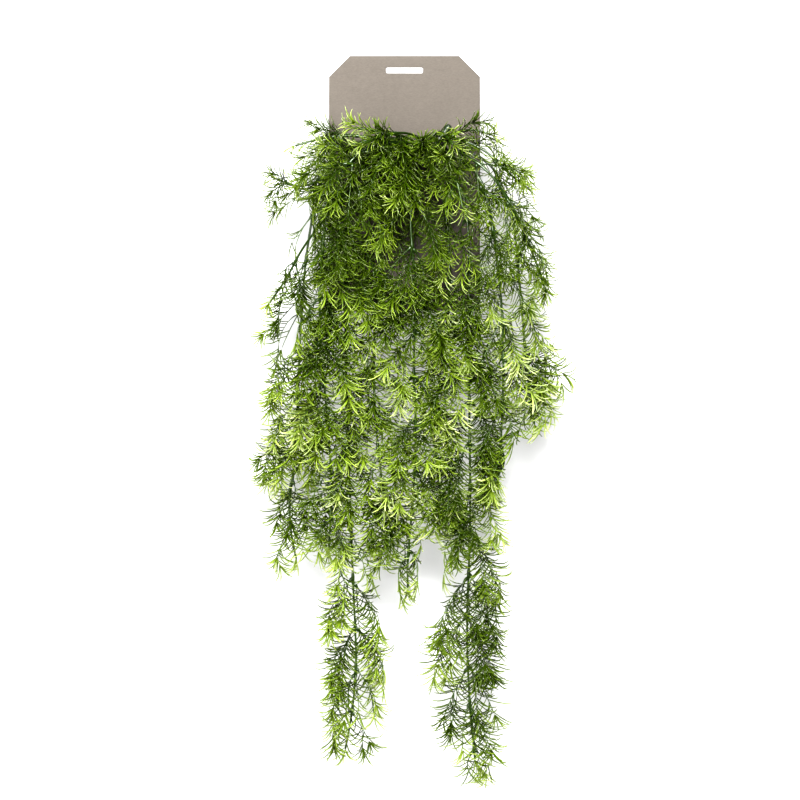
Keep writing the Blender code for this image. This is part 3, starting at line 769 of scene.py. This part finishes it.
# Where the bush is fuller or thinner, and where its sprigs are younger or older: the middle and the half width and
# height of each patch, with its factor. No tip reaches into the clearings.
patches = [
    (50, 105, 26, 75, 0.4), (-104, 160, 18, 45, 0.2), (-118, 180, 14, 28, 0.2), (-115, 262, 13, 34, 0.2),
    (88, 85, 16, 32, 3.0), (-135, 245, 20, 16, 4.0), (-138, 335, 16, 16, 2.5), (-45, 175, 40, 45, 2.2),
    (-45, 240, 50, 25, 1.8), (66, 370, 12, 70, 2.2), (-122, 440, 22, 50, 2.5), (-138, 380, 18, 60, 2.0),
    (90, 555, 14, 40, 1.8), (27, 505, 18, 45, 0.2), (-14, 510, 20, 45, 0.3), (108, 400, 16, 28, 0.3),
    (69, 700, 30, 45, 0.12), (-55, 660, 25, 40, 0.4), (10, 440, 30, 40, 0.6), (66, 520, 22, 95, 2.4),
    (-74, 525, 16, 65, 3.0), (75, 615, 30, 50, 0.6), (108, 160, 30, 90, 0.45),
    (-20, 300, 60, 60, 1.4), (-95, 484, 10, 18, 0.15), (-34, 492, 9, 22, 0.2), (45, 470, 11, 22, 0.2),
    (46, 503, 10, 10, 4.0), (-92, 580, 14, 12, 4.0), (-45, 555, 12, 30, 2.5), (-36, 640, 12, 26, 0.3),
    (144, 182, 14, 18, 0.2), (146, 224, 14, 14, 0.25), (146, 282, 12, 12, 0.3), (-112, 140, 10, 10, 4.0),
    (90, 560, 16, 20, 3.0), (20, 70, 25, 8, 0.3), (-120, 140, 12, 12, 5.0), (-142, 262, 16, 20, 2.5),
    (74, 330, 18, 50, 1.8), (0, 530, 12, 30, 2.5), (62, 455, 14, 25, 1.6),
]
ages = [
    (0, 88, 38, 38, 0.45), (16, 112, 32, 20, 0.5), (-70, 390, 40, 30, 0.7), (-55, 55, 14, 18, 1.3),
    (50, 75, 14, 18, 1.4), (0, 130, 9, 12, 1.8), (55, 152, 12, 14, 1.8), (42, 218, 14, 18, 1.7),
    (-45, 205, 12, 16, 1.7), (118, 240, 40, 130, 1.9), (-120, 200, 30, 90, 1.1), (-60, 130, 25, 35, 0.7),
]
clearings = [
    (26, 512, 13, 52), (-15, 536, 11, 42), (-96, 520, 9, 42), (-121, 186, 12, 20), (-99, 163, 12, 32),
    (-114, 262, 10, 32), (110, 402, 12, 28), (-8, 612, 13, 32),
]


def leafMaterial():
    # Moulded needles: dark and old at the foot, lime where young, with a tone of their own each. Their colour also
    # carries painted shade at the needles' feet and among the inner sprays, and painted highlight at its pale end
    material, tree, shader = newMaterial("leafPlastic")
    colour = ramp(tree, attribute(tree, "youthShadeSheen"), needleLook["shades"])
    shade = ramp(tree, attribute(tree, "tone"), needleLook["tones"])
    setInputs(tree, shader, {
        "Base Color": mixColour(tree, 1.0, colour, shade, "MULTIPLY"),
        "Roughness": needleLook["roughness"],
        "Specular IOR Level": needleLook["specular"],
        "Specular Tint": (*needleLook["gloss"], 1),
    })
    return material


def barkMaterial():
    # Glossy stems: dark green, browner where old, with a fine drawn grain
    material, tree, shader = newMaterial("stemPlastic")
    colour = mixColour(tree, attribute(tree, "youthShadeSheen"), stemLook["old"], stemLook["new"])
    mask = speckle(tree, objectPlace(tree), *stemLook["grain"])
    setInputs(tree, shader, {
        "Base Color": mixColour(tree, 1.0, colour, ramp(tree, mask, [(0.3, 0.7), (0.7, 1)]), "MULTIPLY"),
        "Normal": bump(tree, mask, 0.25, 0.0002),
        "Roughness": stemLook["roughness"],
        "Specular IOR Level": stemLook["specular"],
        "Specular Tint": (*stemLook["gloss"], 1),
    })
    return material


def patched(points, given):
    # Each patch's factor, raised to a bell that fades out from the patch's middle, and all of them multiplied
    right, down, product = points[..., 0], -points[..., 2], 1.0
    for middle, depth, halfWidth, halfHeight, factor in given:
        bell = np.exp(-(((right - middle) / halfWidth) ** 2) - ((down - depth) / halfHeight) ** 2)
        product = product * factor**bell
    return product


def limits(margin):
    # The solids' box less that margin, and no further back than that margin, up to inFront, in front of the card
    low, high = cadLow / mm + margin, cadHigh / mm - margin
    high[1] = -card["thickness"] / 2 - min(margin, edge["inFront"])
    return low, high


def within(points, margin, roots):
    # The points moved inside those limits, and inside the bush's edge less the room for its needles, and out of the
    # clearings towards the side that they come from
    down = -points[..., 2]
    left, rightmost = (readOff(edge[side], down) for side in ("left", "right"))
    right = np.clip(points[..., 0], left + edge["room"], rightmost - edge["room"])
    top = -readOff(edge["crown"], right) - edge["room"]
    tail = np.where(right < edge["tailsPart"], *edge["tails"])
    side = readOff(edge["tailSide"], down, before=1e3)
    right = np.clip(right, tail - side, tail + side)
    for middle, depth, halfWidth, halfHeight in clearings:
        rim = halfWidth * np.sqrt(np.clip(1 - ((down - depth) / halfHeight) ** 2, 0, 1))
        right = np.where(np.abs(right - middle) < rim, middle + np.where(roots[..., 0] < middle, -rim, rim), right)
    moved = np.stack([right, points[..., 1], np.minimum(points[..., 2], top)], axis=-1)
    return np.clip(moved, *limits(margin))


def insideEdge(tips):
    # Whether a needle's tip stays inside the bush's edge, give or take overEdge, and out of the clearings' middles
    right, down, over = tips[..., 0], -tips[..., 2], needleLook["overEdge"]
    inside = (down > readOff(edge["crown"], right) - over) & (right < readOff(edge["right"], down) + over)
    inside &= right > readOff(edge["left"], down) - over
    for middle, depth, halfWidth, halfHeight in clearings:
        inside &= ((right - middle) / halfWidth) ** 2 + ((down - depth) / halfHeight) ** 2 > needleLook["inClearing"]
    return inside


def shareWithin(roots, tips, margin):
    # How much of each line from root to tip lies inside the limits: the least share over the three axes
    low, high = limits(margin)
    way = tips - roots
    room = np.where(way > 0, high - roots, roots - low)
    return np.clip((room / np.maximum(np.abs(way), 1e-6)).min(axis=-1), 0, 1)


def layBranchlets(curves, draw):
    # Side branchlets of each spray: they leave it left and right in turn at the given shares, and droop
    look = branchletLook
    shares = np.array(look["shares"])
    count, each = len(curves), len(shares)
    vary = lambda spread: draw.uniform(*look[spread], (count, each))
    t = np.clip(shares[None] + vary("shareSpread"), 0.06, 0.9)[..., None]
    start, knee, tip = (curves[:, i][:, None] for i in range(3))
    root, slope = bend(start, knee, tip, t)
    length = np.linalg.norm(curves[:, 2] - curves[:, 0], axis=-1)[:, None]
    first, second = squareTo(slope, unit(np.cross(knee - start, tip - knee) + 1e-6))
    side = np.where(np.arange(each)[None] % 2 == 0, 1, -1) * np.where(np.arange(count)[:, None] % 2 == 0, 1, -1)
    turn = (side * math.pi / 2 + vary("turnSpread"))[..., None]
    sideways = first * np.cos(turn) + second * np.sin(turn)
    opening = (look["opening"] * vary("openingSpread"))[..., None]
    leaving = slope * np.cos(opening) + sideways * np.sin(opening)
    size = np.clip(look["length"] * (length / look["onSpray"]) ** 0.6, look["shortest"], look["longest"])
    most, less = look["fromFoot"]
    size = (size * vary("sizeSpread") * look["reach"] * (most - less * t[..., 0]))[..., None]
    hang = (look["hang"] * vary("hangSpread"))[..., None] * np.array([0, 0, 1])
    aim = unit(leaving * look["aim"][0] + slope * look["aim"][1] - hang)
    goal = within(root + size * aim, look["margin"], root)
    branchlets = np.stack([root, root + leaving * look["knee"] * size, goal], axis=2).reshape(-1, 3, 3)
    right, down = branchlets[:, 0, 0], -branchlets[:, 0, 2]
    share = readOff(look["kept"], down) * readOff(look["keptOutside"], np.abs(right - look["middle"]))
    kept = draw.uniform(0, 1, len(share)) < share * patched(branchlets[:, 0], patches)
    kept &= insideEdge(bend(*branchlets.transpose(1, 0, 2), look["insideTo"])[0])
    return branchlets[kept], np.repeat(np.arange(count), each)[kept]


def layNeedles(curves, youthShadeSheen, draw, firstShare):
    # Needles along each curve, each a golden angle on from the last, but drawn to the left and right as in a
    # two-part mould: turn less flatness * sin(2 * turn). They stand out at the foot and lean forward at the tip,
    # where a tuft of them fans out.
    look = needleLook
    length = np.linalg.norm(np.diff(curves, axis=1), axis=-1).sum(axis=1)
    slender = readOff(look["slender"], curves[:, 1, 0])
    spacing = np.interp(-curves[:, 1, 2], look["opensBelow"], look["spacing"]) * slender**1.3
    along = np.maximum(look["fewest"], np.round(length * (1 - firstShare) / spacing)).astype(int)
    count = along + look["tuft"]
    owner = np.repeat(np.arange(len(curves)), count)
    number = np.arange(count.sum()) - np.repeat(np.cumsum(count) - count, count)
    vary = lambda spread: draw.uniform(*look[spread], len(owner))
    first, tuft = firstShare[owner], number >= along[owner]
    t = np.where(tuft, look["tuftAt"], first + (1 - first) * (number + 0.5) / along[owner])[:, None]
    start, knee, tip = (curves[owner, i] for i in range(3))
    root, slope = bend(start, knee, tip, t)
    side, other = squareTo(slope, np.array(look["normal"]))
    turn = look["turn"] * number + look["turnByLine"] * owner + vary("turnSpread")
    turn = (turn - look["flatness"] * np.sin(2 * turn))[:, None]
    sideways = side * np.cos(turn) + other * np.sin(turn)
    down = -root[:, 2]
    foot, end = (np.interp(down, look["opensBelow"], look[key]) for key in ("openingAtFoot", "openingAtTip"))
    opening = foot + (end - foot) * t[:, 0] ** 2
    opening = np.where(tuft, vary("tuftOpening"), opening) + vary("openingSpread")
    size = np.interp(down, look["opensBelow"], look["length"]) * vary("lengthSpread") * slender[owner]
    closing = opening + vary("curl")
    leaving = slope * np.cos(opening)[:, None] + sideways * np.sin(opening)[:, None]
    ending = slope * np.cos(closing)[:, None] + sideways * np.sin(closing)[:, None]
    begins, takes = youthShadeSheenLook["grows"]
    # The spray's youth, with the painted shade of the inner sprays, grows along the spray's line
    freshAndShade = youthShadeSheen[owner] * np.clip((t[:, 0] - begins) / takes, 0, 1) ** 1.1
    return dict(root=root, leaving=leaving, ending=unit(ending), size=size, youthShadeSheen=freshAndShade)


def needleShells(needles, keep, draw):
    # Each needle's middle line leaves in one direction and ends in another, turning mostly near its tip: root +
    # size * (leaving * (t - ttt/3) + ending * ttt/3). Round it stand three-sided rings that close at the tip.
    look = needleLook
    root, leaving, ending = (needles[key][keep][:, None] for key in ("root", "leaving", "ending"))
    size = needles["size"][keep][:, None, None]
    t = np.array([*look["rings"], 1.0])[None, :, None]
    line = root + size * (leaving * (t - t**3 / 3) + ending * t**3 / 3)
    slope = unit(leaving * (1 - t * t) + ending * t * t)
    first, second = squareTo(slope, unit(np.cross(leaving, ending) + np.array([1e-4, 2e-4, 1e-4])))
    radius = np.interp(-root[..., 2], look["opensBelow"], look["radius"])
    radius = radius * draw.uniform(*look["radiusSpread"], (len(root), 1))
    points, faces = tubes(line, first, second, radius * np.array(look["girths"]), 3)
    share = perPoint(look["rings"], 3)
    # Darker at each needle's foot and paler at its tip: partly the needles' own airbrushed tips, partly painted shade
    # at the foot and painted highlight at the tip
    youthShadeSheen = needles["youthShadeSheen"][keep][:, None] * (youthShadeSheenLook["foot"] + youthShadeSheenLook["along"] * share)
    youthShadeSheen = np.clip(youthShadeSheen + youthShadeSheenLook["tip"] * share**3, 0, 1)
    tone = np.repeat(draw.uniform(0, 1, len(root)), len(share))
    return points, faces, youthShadeSheen.ravel(), tone


def twigs(curves, look):
    # Tapered tubes along the curves, with a socket near each foot, and the youth of their points
    t = np.array(look["rings"])[None, :, None]
    start, knee, tip = (curves[:, i][:, None] for i in range(3))
    centres, slopes = bend(start, knee, tip, t)
    normal = unit(np.cross(knee - start, tip - knee) + np.array([0.01, 0.02, 0.003]))
    first, second = squareTo(slopes, normal)
    (thick, thin), (socketAt, socketLength) = look["radius"], sprayLook["socketPlace"]
    share = t[0, :, 0]
    radii = thick + (thin - thick) * share + look["socket"] * np.exp(-(((share - socketAt) / socketLength) ** 2))
    shells = tubes(centres, first, second, np.broadcast_to(radii, centres.shape[:2]), look["sides"])
    least, more = youthShadeSheenLook["twigs"]
    return shells, np.tile(least + more * perPoint(share[:-1], look["sides"]), len(curves))


def youthShadeOf(curves, draw):
    # How young each spray is, by its foot's depth and place, its tip's place, and the ages there, less the painted
    # shade that darkens the inner sprays close to the card, high up near the middle
    look = youthShadeSheenLook
    down, out = -curves[:, 0, 2], -curves[:, 0, 1]
    youthShadeSheen = draw.uniform(0, 1, len(curves)) ** readOff(look["power"], down)
    youthShadeSheen = youthShadeSheen * readOff(look["down"], down) * readOff(look["out"], out)
    # Painted shade: sprays whose tips lie close to the card, high up and near the middle, are made darker as if old
    inner = readOff(look["innerShadeOut"], -curves[:, 2, 1]) * readOff(look["innerShadeDown"], down)
    inner = inner * readOff(look["innerShadeSide"], np.abs(curves[:, 2, 0]))
    return (youthShadeSheen + look["least"]) * (1 - look["innerShade"] * inner) * patched(curves[:, 2], ages)


def makeStem(name, number, route, runs, curves, materials):
    # One leafy stem: its own tube with a knuckle where sprays leave, the sprays, their branchlets and all needles
    draw = np.random.default_rng(100 * needleLook["seed"] + number)
    path = np.vstack([route[:1], smoothThrough(route[1:], stemLook["step"])])
    along = runOf(path)
    share, (thick, thin) = along / along[-1], stemLook["radius"]
    swell = np.exp(-(((along[:, None] - np.array(runs)[None]) / stemLook["knuckleLength"]) ** 2)).max(axis=1)
    radius = (thick + (thin - thick) * share) * (1 + stemLook["knuckle"] * swell)
    stem = tubeAlong(path, radius, stemLook["sides"], stemLook["normal"])
    stemYouth = perPoint(share[:-1], stemLook["sides"]) * stemLook["youthShadeSheen"]

    curves = np.array(curves)
    curves[:, 2] = within(curves[:, 2], sprayLook["margin"], curves[:, 0])
    branchlets, parent = layBranchlets(curves, draw)
    sprayShells, sprayYouth = twigs(curves, sprayLook)
    branchletShells, branchletYouth = twigs(branchlets, branchletLook)
    barkPoints, barkFaces = joined([stem, sprayShells, branchletShells])

    youthShadeSheen = youthShadeOf(curves, draw)
    branchletsOwn = youthShadeSheen[parent] * draw.uniform(*branchletLook["youthSpread"], len(parent))
    youthShadeSheen = np.concatenate([youthShadeSheen, branchletsOwn, [youthShadeSheenLook["stemTip"]]])
    lines = np.concatenate([curves, branchlets, path[None, [-16, -8, -1]]])
    firstShare = np.concatenate([
        np.full(len(curves), sprayLook["needlesFrom"]), np.full(len(branchlets), branchletLook["needlesFrom"]), [0.0],
    ])
    needles = layNeedles(lines, np.clip(youthShadeSheen, 0, 1), draw, firstShare)
    roots = needles["root"]
    tips = roots + needles["size"][:, None] * (2 * needles["leaving"] + needles["ending"]) / 3
    room = shareWithin(roots, tips, needleLook["margin"])
    needles["size"] = needles["size"] * room
    keep = (room > needleLook["leastRoom"]) & insideEdge(tips) & insideEdge((roots + tips) / 2)
    keep &= draw.uniform(0, 1, len(keep)) < patched(roots, patches) ** needleLook["thinning"]
    leafPoints, leafFaces, leafYouthShadeSheen, leafTone = needleShells(needles, keep, draw)

    points, faces = joined([(barkPoints, barkFaces), (leafPoints, leafFaces)])
    barkCount, leafCount = (sum(len(f) for f in faceSets) for faceSets in (barkFaces, leafFaces))
    masks = dict(
        youthShadeSheen=np.concatenate([stemYouth, sprayYouth, branchletYouth, leafYouthShadeSheen]),
        tone=np.concatenate([np.full(len(barkPoints), 0.5), leafTone]),
    )
    index = np.repeat([0, 1], [barkCount, leafCount])
    makePiece("leafy_" + name, points, faces, materials, [name], "foliage", masks, index)
    return int(keep.sum()), sum(len(f) * (f.shape[1] - 2) for f in faces)


# Studio

studio = dict(
    wallBehind=45.0, wallUp=1560.0, floorDown=960.0, floorAhead=4160.0, reach=2600.0, bend=240.0,
    white=0.52, seenWhite=0.36, glow=0.25, edgeOn=0.8, air=0.05, aim=(0, 0, -0.3),
    lights=[  # name, place in metres, size and power
        ("keyLight", (0.1, -2.3, 0.8), 0.6, 150),
        ("fillLight", (-0.9, -2.3, 0.0), 1.2, 60),
        ("backLight", (0.3, 1.6, 0.8), 1.4, 38),
    ],
)
view = dict(centre=(-4.5, 332.5), distance=3000.0, lens=135.0)


def wallMaterial():
    # Matt white with a glow. Light and sight pass through it from behind, and so does sight where it is nearly
    # edge-on, and it isn't mirrored in the needles. To the camera it is barely white, so that it doesn't outshine
    # the thin needles in front of it.
    material, tree, shader = newMaterial("studioWhite")
    rays = addNode(tree, "LightPath").outputs
    white = addNode(tree, "MapRange", {
        "Value": rays["Is Camera Ray"], "To Min": studio["white"], "To Max": studio["seenWhite"],
    })
    setInputs(tree, shader, {
        "Base Color": white.outputs["Result"],
        "Roughness": 0.9,
        "Specular IOR Level": 0.1,
        "Emission Color": (1, 1, 1, 1),
        "Emission Strength": studio["glow"],
    })
    slant = addNode(tree, "LayerWeight").outputs["Facing"]
    edgeOn = calculate(tree, "GREATER_THAN", slant, studio["edgeOn"])
    edgeOn = calculate(tree, "MULTIPLY", edgeOn, rays["Is Camera Ray"])
    through = addNode(tree, "NewGeometry").outputs["Backfacing"]
    for hidden in (rays["Is Shadow Ray"], rays["Is Glossy Ray"], edgeOn):
        through = calculate(tree, "MAXIMUM", through, hidden)
    clear = addNode(tree, "BsdfTransparent").outputs[0]
    mix = addNode(tree, "MixShader", {0: through, 1: shader.outputs[0], 2: clear})
    tree.links.new(mix.outputs[0], tree.nodes["Material Output"].inputs["Surface"])
    return material


def makeStage():
    # A white wall close behind the card that bends over into the floor: a profile carried along X. It takes the
    # bush's soft shadow.
    wall, floor = card["thickness"] / 2 + studio["wallBehind"], -studio["floorDown"]
    reach, radius = studio["reach"], studio["bend"]
    turn = np.linspace(0, math.pi / 2, 14)
    bendLine = np.stack([wall - radius * (1 - np.cos(turn)), floor + radius * (1 - np.sin(turn))], axis=1)
    profile = np.concatenate([[(wall, studio["wallUp"])], bendLine, [(-studio["floorAhead"], floor)]])
    points = np.array([(x, y, z) for y, z in profile for x in (-reach, reach)])
    faces = np.arange(len(profile) - 1)[:, None] * 2 + np.array([0, 2, 3, 1])
    mesh = bpy.data.meshes.new("studioWall")
    mesh.from_pydata([tuple(p) for p in points * mm], [], faces.tolist())
    mesh.shade_smooth()
    mesh.materials.append(wallMaterial())
    addObject("studioWall", mesh)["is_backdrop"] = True


def areaLight(name, at, size, power):
    # A square light aimed at the middle of the bush
    data = bpy.data.lights.new(name, "AREA")
    data.size, data.energy = size, power
    light = addObject(name, data)
    light.location = at
    light.rotation_euler = (Vector(studio["aim"]) - Vector(at)).to_track_quat("-Z", "Y").to_euler()


def makeStudio():
    # The wall, the lights, the air, which lights a little and is seen as white, and the camera
    makeStage()
    for light in studio["lights"]:
        areaLight(*light)
    world = bpy.data.worlds.new("studioAir")
    bpy.context.scene.world = world
    world.use_nodes = True
    tree = world.node_tree
    strength = addNode(tree, "MapRange", {
        "Value": addNode(tree, "LightPath").outputs["Is Camera Ray"], "To Min": studio["air"], "To Max": 1.0,
    })
    air = {"Strength": strength.outputs["Result"], "Color": (1, 1, 1, 1)}
    setInputs(tree, tree.nodes["Background"], air)
    data = bpy.data.cameras.new("camera")
    data.lens, data.sensor_width, data.clip_end = view["lens"], 36, 20
    camera = addObject("camera", data)
    camera.location = (view["centre"][0] * mm, -view["distance"] * mm, -view["centre"][1] * mm)
    camera.rotation_euler = (math.radians(90), 0, 0)
    bpy.context.scene.camera = camera
    bpy.context.scene.view_settings.view_transform = "Standard"
    bpy.context.scene.view_settings.look = "High Contrast"


makeStudio()
print("studio: wall, lights and camera")
speckles = speckleGroup()
routes, leaving, sprays = planBush()
print("plan:", len(routes), "stems and", len(sprays), "sprays")
makeCard(boardMaterial())
makeNeck(leaving, plasticMaterial("neckPlastic", neck))
makeTie(plasticMaterial("tieNylon", tie))
print("card, neck and tie")
stemMaterials = [barkMaterial(), leafMaterial()]
total = 0
for number, (name, route) in enumerate(zip(stems, routes)):
    mine = [(run, curve) for owner, run, curve in sprays if owner == number]
    runs, curves = zip(*mine)
    count, triangles = makeStem(name, number, route, runs, curves, stemMaterials)
    total += triangles
    print(name, count, "needles,", triangles, "triangles")
print("leafy stems:", total, "triangles")
